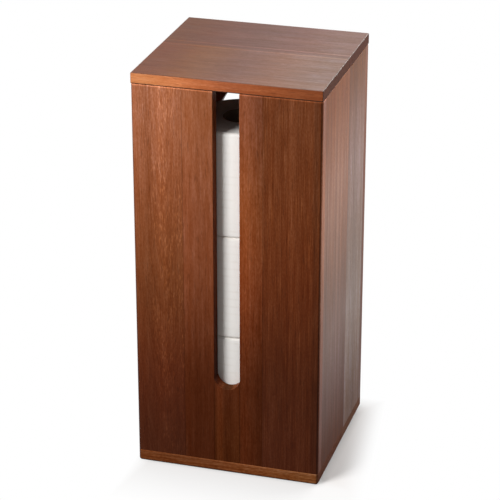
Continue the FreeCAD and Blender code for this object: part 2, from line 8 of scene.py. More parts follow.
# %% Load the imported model
import math
import random
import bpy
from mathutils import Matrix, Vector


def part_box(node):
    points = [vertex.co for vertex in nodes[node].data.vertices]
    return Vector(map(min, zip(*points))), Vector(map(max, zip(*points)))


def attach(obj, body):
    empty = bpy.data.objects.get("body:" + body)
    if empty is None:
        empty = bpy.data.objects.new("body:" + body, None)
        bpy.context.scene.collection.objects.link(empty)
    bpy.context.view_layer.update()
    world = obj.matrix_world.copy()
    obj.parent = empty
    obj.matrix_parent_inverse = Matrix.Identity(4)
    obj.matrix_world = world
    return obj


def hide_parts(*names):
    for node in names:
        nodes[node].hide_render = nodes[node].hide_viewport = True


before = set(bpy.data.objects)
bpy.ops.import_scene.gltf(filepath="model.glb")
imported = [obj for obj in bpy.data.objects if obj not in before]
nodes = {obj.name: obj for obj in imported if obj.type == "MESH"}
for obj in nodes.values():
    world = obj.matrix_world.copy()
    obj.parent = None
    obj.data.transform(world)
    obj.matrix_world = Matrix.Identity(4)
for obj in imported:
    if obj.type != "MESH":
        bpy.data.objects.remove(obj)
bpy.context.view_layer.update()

from types import SimpleNamespace

import bpy
from mathutils import Vector

MM = 0.001

# %% [markdown]
# ## Three small helpers
# Colours are written as the sRGB hex values that a painter would pick from a screen, while the
# renderer adds up light, so it wants them linear. One function does that turn, one adds a node
# with its settings and links, and one starts an empty material.

# %% Helpers for colours and nodes
def paint(code):
    """A six-figure sRGB colour as linear red, green, blue and alpha."""
    shares = [int(code[start:start + 2], 16) / 255 for start in (0, 2, 4)]
    linear = [share / 12.92 if share <= 0.04045 else ((share + 0.055) / 1.055) ** 2.4
              for share in shares]
    return (*linear, 1.0)


def add(tree, kind, inputs=None, **settings):
    """A new node. An input is given a value, or a node or socket to be joined to."""
    node = tree.nodes.new(kind)
    for name, value in settings.items():
        setattr(node, name, value)
    for name, value in (inputs or {}).items():
        if isinstance(value, bpy.types.Node):
            value = value.outputs[0]
        if isinstance(value, bpy.types.NodeSocket):
            tree.links.new(value, node.inputs[name])
        else:
            node.inputs[name].default_value = value
    return node


def new_material(name):
    """An empty material with its tree and its output node."""
    material = bpy.data.materials.new(name)
    material.use_nodes = True
    material.node_tree.nodes.clear()
    return material, material.node_tree, add(material.node_tree, "ShaderNodeOutputMaterial")


WHITE = paint("ffffff")
print("mid brown is", [round(part, 3) for part in paint("7d3e1c")])

# %% [markdown]
# ## The camera
# The photograph was taken from above eye level with a long lens, a little to the right of the
# slotted front. The place and the angle were worked out from the corners of the box, so the
# same corners fall on the same spots of the picture.

# %% Camera
LENS_MM = 154.38
SENSOR_MM = 36.0
CAMERA_PLACE = (0.58651, -2.00656, 1.13703)
CAMERA_DOWN = 23.71    # degrees below the horizon
CAMERA_TURN = 16.37    # degrees to the left of straight ahead

camera = bpy.data.objects.new("camera", bpy.data.cameras.new("camera"))
bpy.context.scene.collection.objects.link(camera)
camera.data.lens = LENS_MM
camera.data.sensor_width = SENSOR_MM
camera.location = CAMERA_PLACE
camera.rotation_euler = (math.radians(90 - CAMERA_DOWN), 0, math.radians(CAMERA_TURN))
bpy.context.scene.camera = camera
bpy.context.scene.view_settings.view_transform = "Standard"
print("camera stands", round(Vector(CAMERA_PLACE).length, 2), "m from the foot of the box")

# %% [markdown]
# ## White air
# The background of the picture is pure white, but a room that bright would wash out the wood.
# So the air is white only for rays that come straight from the camera, or from it by way of a
# mirror or a glass, and much weaker for rays that carry light. The lamps do the lighting.

# %% World
AMBIENT = 0.20


def seen_directly(tree):
    """1 for rays from the camera and for mirrored or bent rays, 0 for rays that carry light."""
    path = add(tree, "ShaderNodeLightPath")
    first = add(tree, "ShaderNodeMath", {
        0: path.outputs["Is Camera Ray"], 1: path.outputs["Is Glossy Ray"]}, operation="MAXIMUM")
    return add(tree, "ShaderNodeMath", {0: first, 1: path.outputs["Is Transmission Ray"]},
               operation="MAXIMUM")


world = bpy.data.worlds.new("studio")
world.use_nodes = True
bpy.context.scene.world = world
sky = world.node_tree
sky.nodes.clear()
strength = add(sky, "ShaderNodeMapRange", {
    "Value": seen_directly(sky), "To Min": AMBIENT, "To Max": 1.0})
air = add(sky, "ShaderNodeBackground", {"Color": WHITE, "Strength": strength})
add(sky, "ShaderNodeOutputWorld", {"Surface": air})
print("the air lights the box with", AMBIENT, "and looks like 1.0")

# %% [markdown]
# ## Where the floor turns white
# The box stands on a white sweep with a soft shadow that hugs its right side. A floor that is lit
# like anything else would be grey a long way out. So the sheet keeps its paint close to the box,
# where the shadow lies, and turns into plain white further out: to the right along a line that
# leans, because the shadow gets narrower towards the rear, and soon to the left, in front and
# behind. No extra light has to fall on the wood for that.

# %% Floor: the fade to white
SHADOW_FROM, SHADOW_BY = 0.1035, 0.1415    # to the right
SHADOW_LEAN = 0.12                         # metres further left for each metre to the rear
LEFT_FROM, LEFT_BY = -0.066, -0.104
REAR_FROM, REAR_BY = 0.070, 0.112
FRONT_FROM, FRONT_BY, FRONT_END = -0.083, -0.097, -0.180
FRONT_SHARE = 0.56                         # how white it is at FRONT_BY, where the fade slows down

sheet, tree, output = new_material("white_painted_sheet")
place = add(tree, "ShaderNodeNewGeometry").outputs["Position"]
leaned = add(tree, "ShaderNodeVectorMath", {0: place, 1: (1, SHADOW_LEAN, 0)},
             operation="DOT_PRODUCT")
on_right = add(tree, "ShaderNodeMapRange", {
    "Value": leaned.outputs["Value"], "From Min": SHADOW_FROM, "From Max": SHADOW_BY},
    interpolation_type="SMOOTHSTEP")
across, depth = add(tree, "ShaderNodeSeparateXYZ", {"Vector": place}).outputs[:2]
on_left = add(tree, "ShaderNodeMapRange", {
    "Value": across, "From Min": LEFT_FROM, "From Max": LEFT_BY})
steep = add(tree, "ShaderNodeMapRange", {
    "Value": depth, "From Min": FRONT_FROM, "From Max": FRONT_BY, "To Max": FRONT_SHARE})
gentle = add(tree, "ShaderNodeMapRange", {
    "Value": depth, "From Min": FRONT_BY, "From Max": FRONT_END, "To Max": 1 - FRONT_SHARE})
in_front = add(tree, "ShaderNodeMath", {0: steep, 1: gentle}, operation="ADD")
behind = add(tree, "ShaderNodeMapRange", {
    "Value": depth, "From Min": REAR_FROM, "From Max": REAR_BY})
fore_and_aft = add(tree, "ShaderNodeMath", {0: in_front, 1: behind}, operation="MAXIMUM")
beside = add(tree, "ShaderNodeMath", {0: on_left, 1: on_right}, operation="MAXIMUM")
fade = add(tree, "ShaderNodeMath", {0: beside, 1: fore_and_aft}, operation="MAXIMUM")
print("floor is white from", SHADOW_BY, "m to the right outwards")

# %% [markdown]
# ## The floor's paint
# Where the sheet keeps its paint it is nearly white to the eye. For rays that carry light it is
# grey, or it would throw too much light up at the dark foot of the box. Beside the right foot the
# shadow is deepest, and from there inwards the paint is a little darker too, a painted contact
# shadow. The paint is matt, and the fade mixes it with a surface that glows plain white.

# %% Floor: paint and mesh
FLOOR_SEEN = "f2f0ee"
FLOOR_BOUNCE = "8c8a86"
FLOOR_ROUGHNESS = 0.9
FLOOR_HALF = 6.0
# painted contact shadow: the share of the paint's brightness that is left at the right foot
PAINTED_CONTACT_SHADOW = 0.84
CONTACT_FROM, CONTACT_BY = 0.0995, 0.108    # from the foot of the right side outwards
CONTACT_ENDS = (-0.095, -0.101)             # at the front corner, and just past it

seen = seen_directly(tree)
share = add(tree, "ShaderNodeMath", {0: fade, 1: seen}, operation="MULTIPLY")
colour = add(tree, "ShaderNodeMix", {0: seen, 6: paint(FLOOR_BOUNCE), 7: paint(FLOOR_SEEN)},
             data_type="RGBA")
outwards = add(tree, "ShaderNodeMapRange", {
    "Value": across, "From Min": CONTACT_FROM, "From Max": CONTACT_BY,
    "To Min": PAINTED_CONTACT_SHADOW, "To Max": 1.0})
# the painted contact shadow stops at the front corner
painted_shadow = add(tree, "ShaderNodeMapRange", {
    "Value": depth, "From Min": CONTACT_ENDS[0], "From Max": CONTACT_ENDS[1],
    "To Min": outwards, "To Max": 1.0})
shaded_paint = add(tree, "ShaderNodeVectorMath", {0: colour.outputs[2], "Scale": painted_shadow},
                   operation="SCALE")
painted = add(tree, "ShaderNodeBsdfPrincipled", {
    "Base Color": shaded_paint, "Roughness": FLOOR_ROUGHNESS, "Specular IOR Level": 0.0})
plain = add(tree, "ShaderNodeEmission", {"Color": WHITE, "Strength": 1.0})
both = add(tree, "ShaderNodeMixShader", {0: share, 1: painted, 2: plain})
tree.links.new(both.outputs[0], output.inputs["Surface"])

signs = ((-1, -1), (1, -1), (1, 1), (-1, 1))
corners = [(x * FLOOR_HALF, y * FLOOR_HALF, 0) for x, y in signs]
floor_mesh = bpy.data.meshes.new("studio_floor")
floor_mesh.from_pydata(corners, [], [(0, 1, 2, 3)])
floor_mesh.materials.append(sheet)
floor = bpy.data.objects.new("studio_floor", floor_mesh)
bpy.context.scene.collection.objects.link(floor)
print("floor is", 2 * FLOOR_HALF, "m wide")

# %% [markdown]
# ## The lamps
# The front of the box is bright at the top and dark at the foot, so its lamp hangs close, high
# and to the left. The right side is lit from behind and from low down, which leaves the floor
# beside it and the upright front corner in the shade. A lamp straight above lights the lid. The
# one at the back skims over the lid, and sends some light through the arched opening onto the
# rolls. All are square softboxes, because a wide lamp makes a soft shadow.

# %% Lamps
LAMPS = [
    # name, place, aim, width, watts
    ("front_softbox", (-0.60, -0.95, 0.88), (0.0, -0.10, 0.34), 0.52, 15.6),
    ("side_softbox", (0.85, 0.80, 0.42), (0.10, 0.0, 0.28), 0.60, 9.5),
    ("top_softbox", (-0.10, 0.15, 1.25), (0.0, 0.0, 0.44), 0.50, 3.0),
    ("rear_softbox", (0.40, 1.20, 0.75), (0.0, 0.05, 0.38), 0.60, 9.5),
]
for name, lamp_place, aim, width, watts in LAMPS:
    lamp = bpy.data.objects.new(name, bpy.data.lights.new(name, "AREA"))
    lamp.data.shape = "SQUARE"
    lamp.data.size = width
    lamp.data.energy = watts
    lamp.location = lamp_place
    lamp.rotation_euler = (Vector(aim) - Vector(lamp_place)).to_track_quat("-Z", "Y").to_euler()
    bpy.context.scene.collection.objects.link(lamp)
    print(name, watts, "W at", lamp_place)

# %% [markdown]
# ## Stained wood: two tools for patterns
# The boards look like a ring-porous wood, stained reddish brown and lacquered satin. A picture
# laid on the faces could show that, but it would break at every edge. Here the wood is worked out
# in space instead, so every face of a board, its end grain too, cuts through the same figure. Two
# tools come first: soft noise that is drawn out along the grain, and a row of colours that follow
# each other along a board.

# %% Wood: noise along the grain, colours along the board
def streaks(tree, spot, across_mm, along_mm, detail):
    """Soft noise, drawn out along the grain."""
    per_mm = (1 / across_mm, 1 / across_mm, 1 / along_mm)
    squeezed = add(tree, "ShaderNodeVectorMath", {0: spot, 1: per_mm}, operation="MULTIPLY")
    noise = add(tree, "ShaderNodeTexNoise", {"Vector": squeezed, "Scale": 1.0, "Detail": detail})
    return noise.outputs["Fac"]


def blended_colours(tree, place, span, codes):
    """Colours that follow each other at even steps between two places in mm."""
    share = add(tree, "ShaderNodeMapRange", {
        "Value": place, "From Min": span[0], "From Max": span[1]})
    ramp = add(tree, "ShaderNodeValToRGB", {"Fac": share})
    ramp.color_ramp.interpolation = "CARDINAL"
    stops = ramp.color_ramp.elements
    stops[0].color, stops[1].color = paint(codes[0]), paint(codes[-1])
    for step, code in enumerate(codes[1:-1], start=1):
        stops.new(step / (len(codes) - 1)).color = paint(code)
    return ramp.outputs["Color"]


print("pattern tools:", streaks.__name__, "and", blended_colours.__name__)

# %% [markdown]
# ## Where a point lies in its board
# An upright board has its grain along Z, and a lying one along X. So the three coordinates are
# sorted into across, deep and along, and the rest of the wood needs only one recipe. Each board
# also takes its noise from a place of its own, far from the others', or all would look alike.

# %% Wood: a board's own space
GRAIN_ORDER = {"x": ("Y", "Z", "X"), "z": ("X", "Y", "Z")}
STAIN_SPAN_MM = {"x": (-85.0, 85.0), "z": (30.0, 410.0)}
OWN_STEP_MM = (171.0, 93.0, 617.0)


def board_space(tree, grain, seed):
    """The places in mm and the directions that the patterns of one board are made from."""
    coordinates = add(tree, "ShaderNodeTexCoord")
    in_mm = add(tree, "ShaderNodeVectorMath", {
        0: coordinates.outputs["Object"], "Scale": 1 / MM}, operation="SCALE")
    split = add(tree, "ShaderNodeSeparateXYZ", {"Vector": in_mm})
    across, deep, along = [split.outputs[axis] for axis in GRAIN_ORDER[grain]]
    spot = add(tree, "ShaderNodeCombineXYZ", {"X": across, "Y": deep, "Z": along})
    own_place = [seed * step for step in OWN_STEP_MM]
    own_spot = add(tree, "ShaderNodeVectorMath", {0: spot, 1: own_place}, operation="ADD")
    normal = coordinates.outputs["Normal"]
    facing = add(tree, "ShaderNodeSeparateXYZ", {"Vector": normal})
    straight = add(tree, "ShaderNodeVectorMath", {0: normal}, operation="ABSOLUTE")
    parts = add(tree, "ShaderNodeSeparateXYZ", {"Vector": straight})
    end_on = add(tree, "ShaderNodeMath", {0: facing.outputs[grain.upper()]},
                 operation="ABSOLUTE")
    return SimpleNamespace(
        places=split.outputs, across=across, along=along, spot=spot, own_spot=own_spot,
        up=facing.outputs["Z"], parts=parts.outputs, end_on=end_on, span=STAIN_SPAN_MM[grain])


print("a lying board's grain runs along", GRAIN_ORDER["x"][2])

# %% [markdown]
# ## Year rings
# A board is a slice through a stack of cones, the year rings of the tree. The rings are counted
# from the distance to the heart of the tree, which sways a little on its way up. Where the heart
# lies close behind a face and leans, they come out as pointed arches. Where it is far away, they
# are straight lines. Each ring gets darker slowly and then sharply pale again, and the fibres
# break up its dark part.

# %% Wood: year rings
RING_MM = 2.6
UNEVEN_MM = 7.0
UNEVEN_SWING = 1.4
SWAY_LONG_MM = 150.0
SWAY_ACROSS = 0.4          # the heart's sway changes this much more slowly across the grain
SWAY_SWING = 4.0           # soft noise stays near its middle, so its swing is widened
LATE_WOOD = 0.84           # the share of a year at which the ring is darkest
FAINT_SHARE = 0.3          # what is left of a ring where the fibres break it up
BREAKING = (0.35, 0.65)    # the fibre noise between a broken and a full ring


def heart_distance(tree, board, heart, lean, sway):
    """How far a point lies from the leaning and swaying heart of the tree, in mm."""
    swing = sway * SWAY_SWING
    per_mm = (SWAY_ACROSS / SWAY_LONG_MM, SWAY_ACROSS / SWAY_LONG_MM, 1 / SWAY_LONG_MM)
    squeezed = add(tree, "ShaderNodeVectorMath", {0: board.own_spot, 1: per_mm},
                   operation="MULTIPLY")
    wander = add(tree, "ShaderNodeTexNoise", {"Vector": squeezed, "Scale": 1.0, "Detail": 1.0})
    swayed = add(tree, "ShaderNodeVectorMath", {
        0: wander.outputs["Color"], 1: (swing, swing, 0), 2: board.spot}, operation="MULTIPLY_ADD")
    shift = add(tree, "ShaderNodeVectorMath", {0: (lean[0], lean[1], 0), "Scale": board.along},
                operation="SCALE")
    leaning = add(tree, "ShaderNodeVectorMath", {0: swayed, 1: shift}, operation="ADD")
    middle = (heart[0] + swing / 2, heart[1] + swing / 2, 0)
    centred = add(tree, "ShaderNodeVectorMath", {0: leaning, 1: middle}, operation="SUBTRACT")
    flat = add(tree, "ShaderNodeVectorMath", {0: centred, 1: (1, 1, 0)}, operation="MULTIPLY")
    return add(tree, "ShaderNodeVectorMath", {0: flat}, operation="LENGTH").outputs["Value"]


def year_rings(tree, radius, fibre, rings):
    """A shade that falls by the share rings in the late wood of each year."""
    uneven = add(tree, "ShaderNodeTexNoise", {"Scale": 1 / UNEVEN_MM, "W": radius, "Detail": 1.0},
                 noise_dimensions="1D").outputs["Fac"]
    spread = add(tree, "ShaderNodeMath", {0: uneven, 1: UNEVEN_MM * UNEVEN_SWING, 2: radius},
                 operation="MULTIPLY_ADD")
    count = add(tree, "ShaderNodeMath", {0: spread, 1: RING_MM}, operation="DIVIDE")
    year = add(tree, "ShaderNodeMath", {0: count}, operation="FRACT")
    ring = add(tree, "ShaderNodeValToRGB", {"Fac": year})
    stops = ring.color_ramp.elements
    ring.color_ramp.interpolation = "EASE"
    stops[0].color = (0, 0, 0, 1)
    stops[1].position = LATE_WOOD
    stops[1].color = (1, 1, 1, 1)
    stops.new(1.0).color = (0, 0, 0, 1)
    broken = add(tree, "ShaderNodeMapRange", {
        "Value": fibre, "From Min": BREAKING[0], "From Max": BREAKING[1],
        "To Min": 1 - FAINT_SHARE * rings, "To Max": 1 - rings})
    return add(tree, "ShaderNodeMapRange", {"Value": ring, "To Min": 1.0, "To Max": broken})


print("rings are", RING_MM, "mm apart")

# %% [markdown]
# ## Fine grain and its dye
# Between the rings, wood takes stain in streaks, in small clouds, in single fibres and in short
# grit. Each is soft noise of its own size that sways the shade around 1. Where the grain holds
# more dye, blue is swallowed first and red last, as in strong tea. So the shade is raised to a
# power of its own for red, green and blue, and a pale fibre looks sandy and not orange.

# %% Wood: fine grain
NOISE_LOW, NOISE_HIGH = 0.3, 0.7    # soft noise hardly leaves this range
STREAK_MM, STREAK_LONG_MM = 3.6, 320.0
CLOUD_MM, CLOUD_LONG_MM = 5.0, 30.0
CLOUD_SHARE = 0.10
FIBRE_MM, FIBRE_LONG_MM = 1.0, 28.0
GRIT_MM, GRIT_LONG_MM = 1.2, 3.5
GRIT_SHARE = 0.8                    # of the sway that the fibres have
DYE_DEPTH = (0.72, 1.24, 2.07)


def grain_colour(tree, board, fibre, ring_shade, streak, fibres):
    """What the fine grain leaves of red, green and blue."""
    own = board.own_spot
    patterns = [
        (streaks(tree, own, STREAK_MM, STREAK_LONG_MM, 1.0), streak),
        (streaks(tree, own, CLOUD_MM, CLOUD_LONG_MM, 1.0), CLOUD_SHARE),
        (fibre, fibres),
        (streaks(tree, own, GRIT_MM, GRIT_LONG_MM, 1.0), fibres * GRIT_SHARE),
    ]
    grained = ring_shade
    for noise, share in patterns:
        swaying = add(tree, "ShaderNodeMapRange", {
            "Value": noise, "From Min": NOISE_LOW, "From Max": NOISE_HIGH,
            "To Min": 1 - share, "To Max": 1 + share})
        grained = add(tree, "ShaderNodeMath", {0: grained, 1: swaying}, operation="MULTIPLY")
    return add(tree, "ShaderNodeVectorMath", {0: grained, 1: DYE_DEPTH}, operation="POWER")


print("fibres are", FIBRE_MM, "mm wide and", FIBRE_LONG_MM, "mm long")

# %% [markdown]
# ## Painted light and shade on the rounded edges
# The sharp edges were eased with sandpaper before staining. Where such an edge looks up, it is
# painted paler, a painted highlight where the light from above catches it, and where it looks down,
# it is painted darker, a painted shadow such as lies in the groove under the lid. An upright corner
# gets a painted shade or highlight of its own. A rounded edge is easy to find, because there no
# part of the direction that the surface faces is close to 1.

# %% Wood: wear
# painted highlight on edges that look up, painted shadow on edges that look down
PAINTED_EDGE_HIGHLIGHT = 1.5
PAINTED_EDGE_SHADOW = 0.25
FLAT_FACE, ROUND_FACE = 0.99, 0.88
UP_SWING = 0.4                # how much an edge has to look up or down to be fully pale or dark
UPRIGHT = (0.3, 0.05)         # the upward part, from a lying edge to an upright one
SIDE_TURN = (0.70, 0.85)      # the sideways part, from the front of a corner to its side
SIDE_SHADE = 1.2


def painted_edge_light(tree, board, corner, edge_highlight):
    """1 on the flat faces, and a painted highlight or painted shade on the rounded edges."""
    wider = add(tree, "ShaderNodeMath", {0: board.parts[0], 1: board.parts[1]},
                operation="MAXIMUM")
    widest = add(tree, "ShaderNodeMath", {0: wider, 1: board.parts[2]}, operation="MAXIMUM")
    on_edge = add(tree, "ShaderNodeMapRange", {
        "Value": widest, "From Min": FLAT_FACE, "From Max": ROUND_FACE})
    lying = add(tree, "ShaderNodeMapRange", {
        "Value": board.up, "From Min": -UP_SWING, "From Max": UP_SWING,
        "To Min": PAINTED_EDGE_SHADOW, "To Max": edge_highlight})
    standing = add(tree, "ShaderNodeMapRange", {
        "Value": board.parts[0], "From Min": SIDE_TURN[0], "From Max": SIDE_TURN[1],
        "To Min": corner, "To Max": SIDE_SHADE})
    # an upright corner gets a painted shade where corner is below 1, a painted highlight above 1
    upright = add(tree, "ShaderNodeMapRange", {
        "Value": board.parts[2], "From Min": UPRIGHT[0], "From Max": UPRIGHT[1]})
    edge_light = add(tree, "ShaderNodeMapRange", {"Value": upright, "To Min": lying, "To Max": standing})
    return add(tree, "ShaderNodeMapRange", {"Value": on_edge, "To Min": 1.0, "To Max": edge_light})


print("edges that look up are", PAINTED_EDGE_HIGHLIGHT, "times as bright")

# %% [markdown]
# ## Stripes and single lines
# Stripes as broad as a finger make a board lighter and darker. A glue joint between two boards is
# a thin dark line, some rings took more or less stain over the whole length of a board, and the
# lid's joint has a thin pale line beside it. Other lines are painted light: a painted highlight on a
# lit edge, a painted shadow in a gap, a painted reflection near the front of the lid. Such a line
# lies at a fixed place, so one loop draws them all from a short list. Stripes, the painted edge
# light and lines don't change the hue, so they are simply multiplied with each other.

# %% Wood: broad shade
STRIPE_MM, STRIPE_LONG_MM = 16.0, 900.0
LINE_CORE = 0.4    # the share of a line's half width that has its full shade


def broad_shade(tree, board, stripes, edge_light, lines):
    """Stripes, painted edge light and lines of axis, place in mm, half width in mm and factor."""
    broad = streaks(tree, board.own_spot, STRIPE_MM, STRIPE_LONG_MM, 3.0)
    shade = add(tree, "ShaderNodeMapRange", {
        "Value": broad, "From Min": NOISE_LOW, "From Max": NOISE_HIGH,
        "To Min": 1 - stripes, "To Max": 1 + stripes})
    shade = add(tree, "ShaderNodeMath", {0: shade, 1: edge_light}, operation="MULTIPLY")
    for axis, place_mm, half_mm, factor in lines:
        off = add(tree, "ShaderNodeMath", {0: board.places[axis], 1: place_mm},
                  operation="SUBTRACT")
        gap = add(tree, "ShaderNodeMath", {0: off}, operation="ABSOLUTE")
        line = add(tree, "ShaderNodeMapRange", {
            "Value": gap, "From Min": half_mm * LINE_CORE, "From Max": half_mm,
            "To Min": factor, "To Max": 1.0})
        shade = add(tree, "ShaderNodeMath", {0: shade, 1: line}, operation="MULTIPLY")
    return shade


print("stripes are", STRIPE_MM, "mm wide")

# %% [markdown]
# ## The stain itself
# The stain changes along a board, so it is given as a few colours at even steps. On an upright
# board they are darker at its foot, and on the lid and the right side they are greyed, a painted
# sheen. A board's narrow edge may have a row of its own. End grain soaks up more stain than a face
# does, so it is darker there, by a share for red, green and blue.

# %% Wood: stain
END_GRAIN = (0.45, 0.45, 0.45)
END_FROM = 0.6                # how much a face has to look along the grain to be end grain
NARROW_EDGE = (0.6, 0.8)      # the sideways part, from a board's face to its narrow edge


def stain_colour(tree, board, stain, edge, end):
    """The stain of a board before any grain, with its narrow edges and its ends."""
    colour = blended_colours(tree, board.along, board.span, stain)
    if edge:
        axis, edge_stain = edge
        narrow = add(tree, "ShaderNodeMapRange", {
            "Value": board.parts[axis], "From Min": NARROW_EDGE[0], "From Max": NARROW_EDGE[1]})
        edge_colour = blended_colours(tree, board.along, board.span, edge_stain)
        colour = add(tree, "ShaderNodeMix", {0: narrow, 6: colour, 7: edge_colour},
                     data_type="RGBA").outputs[2]
    end_share = add(tree, "ShaderNodeMapRange", {"Value": board.end_on, "From Min": END_FROM})
    soaked = add(tree, "ShaderNodeMix", {0: end_share, 6: WHITE, 7: (*end, 1)}, data_type="RGBA")
    return add(tree, "ShaderNodeVectorMath", {0: colour, 1: soaked.outputs[2]},
               operation="MULTIPLY")


print("end grain keeps", END_GRAIN[0], "of the light")

# %% [markdown]
# ## Pores and flecks
# The wood is full of small dark pores, short dashes along the grain, and some boards show bright
# flecks in clusters, on one of them mostly in a band that leans with the grain. Pores are really
# 0.2 to 0.3 mm wide. Here they are about 1 mm wide, because finer ones wouldn't show in a picture
# of this size.

# %% Wood: pores and flecks
PORE_MM, PORE_LONG_MM = 0.9, 14.0
PORE_NOISE = (0.60, 0.72)
PORE_SHARE = 0.30
PORE_DIRT = "1e0c05"
FLECK_MM = 1.1
FLECK_NOISE = (0.54, 0.68)
FLECK_GAIN = (1.42, 1.60, 1.72)
CLUSTER_MM, CLUSTER_LONG_MM = 9.0, 60.0
CLUSTER_NOISE = (0.40, 0.60)
CLUSTER_LEAST = 0.15


def pored(tree, board, shaded):
    """The colour with its dark pores, and how much of each spot is pore."""
    pore = add(tree, "ShaderNodeMapRange", {
        "Value": streaks(tree, board.own_spot, PORE_MM, PORE_LONG_MM, 1.0),
        "From Min": PORE_NOISE[0], "From Max": PORE_NOISE[1]})
    pore_share = add(tree, "ShaderNodeMath", {0: pore, 1: PORE_SHARE}, operation="MULTIPLY")
    dark = add(tree, "ShaderNodeMix", {0: pore_share, 6: shaded, 7: paint(PORE_DIRT)},
               data_type="RGBA")
    return dark.outputs[2], pore


def flecked(tree, board, colour, flecks, fleck_long, figure):
    """The colour with bright flecks. A figure is the middle in mm, lean and half width of a band."""
    cluster = add(tree, "ShaderNodeMapRange", {
        "Value": streaks(tree, board.own_spot, CLUSTER_MM, CLUSTER_LONG_MM, 1.0),
        "From Min": CLUSTER_NOISE[0], "From Max": CLUSTER_NOISE[1],
        "To Min": CLUSTER_LEAST, "To Max": 1.0})
    if figure:
        middle_mm, lean, half_mm = figure
        centre = add(tree, "ShaderNodeMath", {0: board.along, 1: lean, 2: middle_mm},
                     operation="MULTIPLY_ADD")
        off_centre = add(tree, "ShaderNodeMath", {0: board.across, 1: centre},
                         operation="SUBTRACT")
        distance = add(tree, "ShaderNodeMath", {0: off_centre}, operation="ABSOLUTE")
        near = add(tree, "ShaderNodeMapRange", {
            "Value": distance, "From Min": half_mm, "From Max": half_mm / 3})
        cluster = add(tree, "ShaderNodeMath", {0: cluster, 1: near}, operation="MULTIPLY")
    fleck = add(tree, "ShaderNodeMapRange", {
        "Value": streaks(tree, board.own_spot, FLECK_MM, fleck_long, 1.0),
        "From Min": FLECK_NOISE[0], "From Max": FLECK_NOISE[1], "To Max": flecks})
    fleck_share = add(tree, "ShaderNodeMath", {0: fleck, 1: cluster}, operation="MULTIPLY")
    bright = add(tree, "ShaderNodeVectorMath", {0: colour, 1: FLECK_GAIN}, operation="MULTIPLY")
    return add(tree, "ShaderNodeMix", {0: fleck_share, 6: colour, 7: bright}, data_type="RGBA")


print("pores are", PORE_MM, "mm wide and hide", PORE_SHARE, "of what lies under them")

# %% [markdown]
# ## Satin lacquer
# Satin lacquer is thin, so fibres and pores can still be felt, and its gloss changes from fibre to
# fibre. Hands keep the middle of the box smooth, and on the right side it gets duller towards head
# and foot. Raw end grain drinks the lacquer and stays matt. A trace of sheen stands for the fine
# dust that a lacquered surface gathers.

# %% Wood: lacquer
LACQUER_IOR = 1.5
SATIN_ROUGH = (0.34, 0.50)
HANDLED_MM = 240.0            # how high the hands take hold
DULL_SHARES = (0.35, 0.9)     # of that height, between the smooth middle and the dull ends
RELIEF_MM = 0.12
RELIEF_STRENGTH = 0.25
DUST_ROUGHNESS = 0.45
DUST_TINT = "f0d8cc"


def lacquer_roughness(tree, board, fibre, dull, end_rough):
    """Satin that changes with the fibres, dull away from the hands and matt on end grain."""
    satin = add(tree, "ShaderNodeMapRange", {
        "Value": fibre, "From Min": NOISE_LOW, "From Max": NOISE_HIGH,
        "To Min": SATIN_ROUGH[0], "To Max": SATIN_ROUGH[1]})
    from_hand = add(tree, "ShaderNodeMath", {0: board.places["Z"], 1: HANDLED_MM},
                    operation="SUBTRACT")
    unhandled = add(tree, "ShaderNodeMath", {0: from_hand}, operation="ABSOLUTE")
    dulled = add(tree, "ShaderNodeMapRange", {
        "Value": unhandled, "From Min": HANDLED_MM * DULL_SHARES[0],
        "From Max": HANDLED_MM * DULL_SHARES[1], "To Max": dull})
    rubbed = add(tree, "ShaderNodeMath", {0: satin, 1: dulled}, operation="ADD")
    return add(tree, "ShaderNodeMapRange", {
        "Value": board.end_on, "From Min": END_FROM, "To Min": rubbed, "To Max": end_rough})


def lacquered(tree, finished, fibre, pore, roughness, gloss, sheen):
    """The shader of a board under its lacquer."""
    relief = add(tree, "ShaderNodeMath", {0: fibre, 1: pore}, operation="SUBTRACT")
    bump = add(tree, "ShaderNodeBump", {
        "Strength": RELIEF_STRENGTH, "Distance": RELIEF_MM * MM, "Height": relief})
    return add(tree, "ShaderNodeBsdfPrincipled", {
        "Base Color": finished, "Roughness": roughness, "IOR": LACQUER_IOR,
        "Specular IOR Level": gloss, "Sheen Weight": sheen, "Sheen Roughness": DUST_ROUGHNESS,
        "Sheen Tint": paint(DUST_TINT), "Normal": bump})


print("satin lacquer has a roughness of", SATIN_ROUGH)

# %% [markdown]
# ## One board's material
# Now the steps are put together, mostly in the order in which the real board was made: the tree
# grows, the stain goes on, glue leaves its lines, the edges and a few lines get painted highlights
# and painted shades, and the lacquer comes last. What most boards have in common is given as
# defaults, so that a board names only what is special about it.

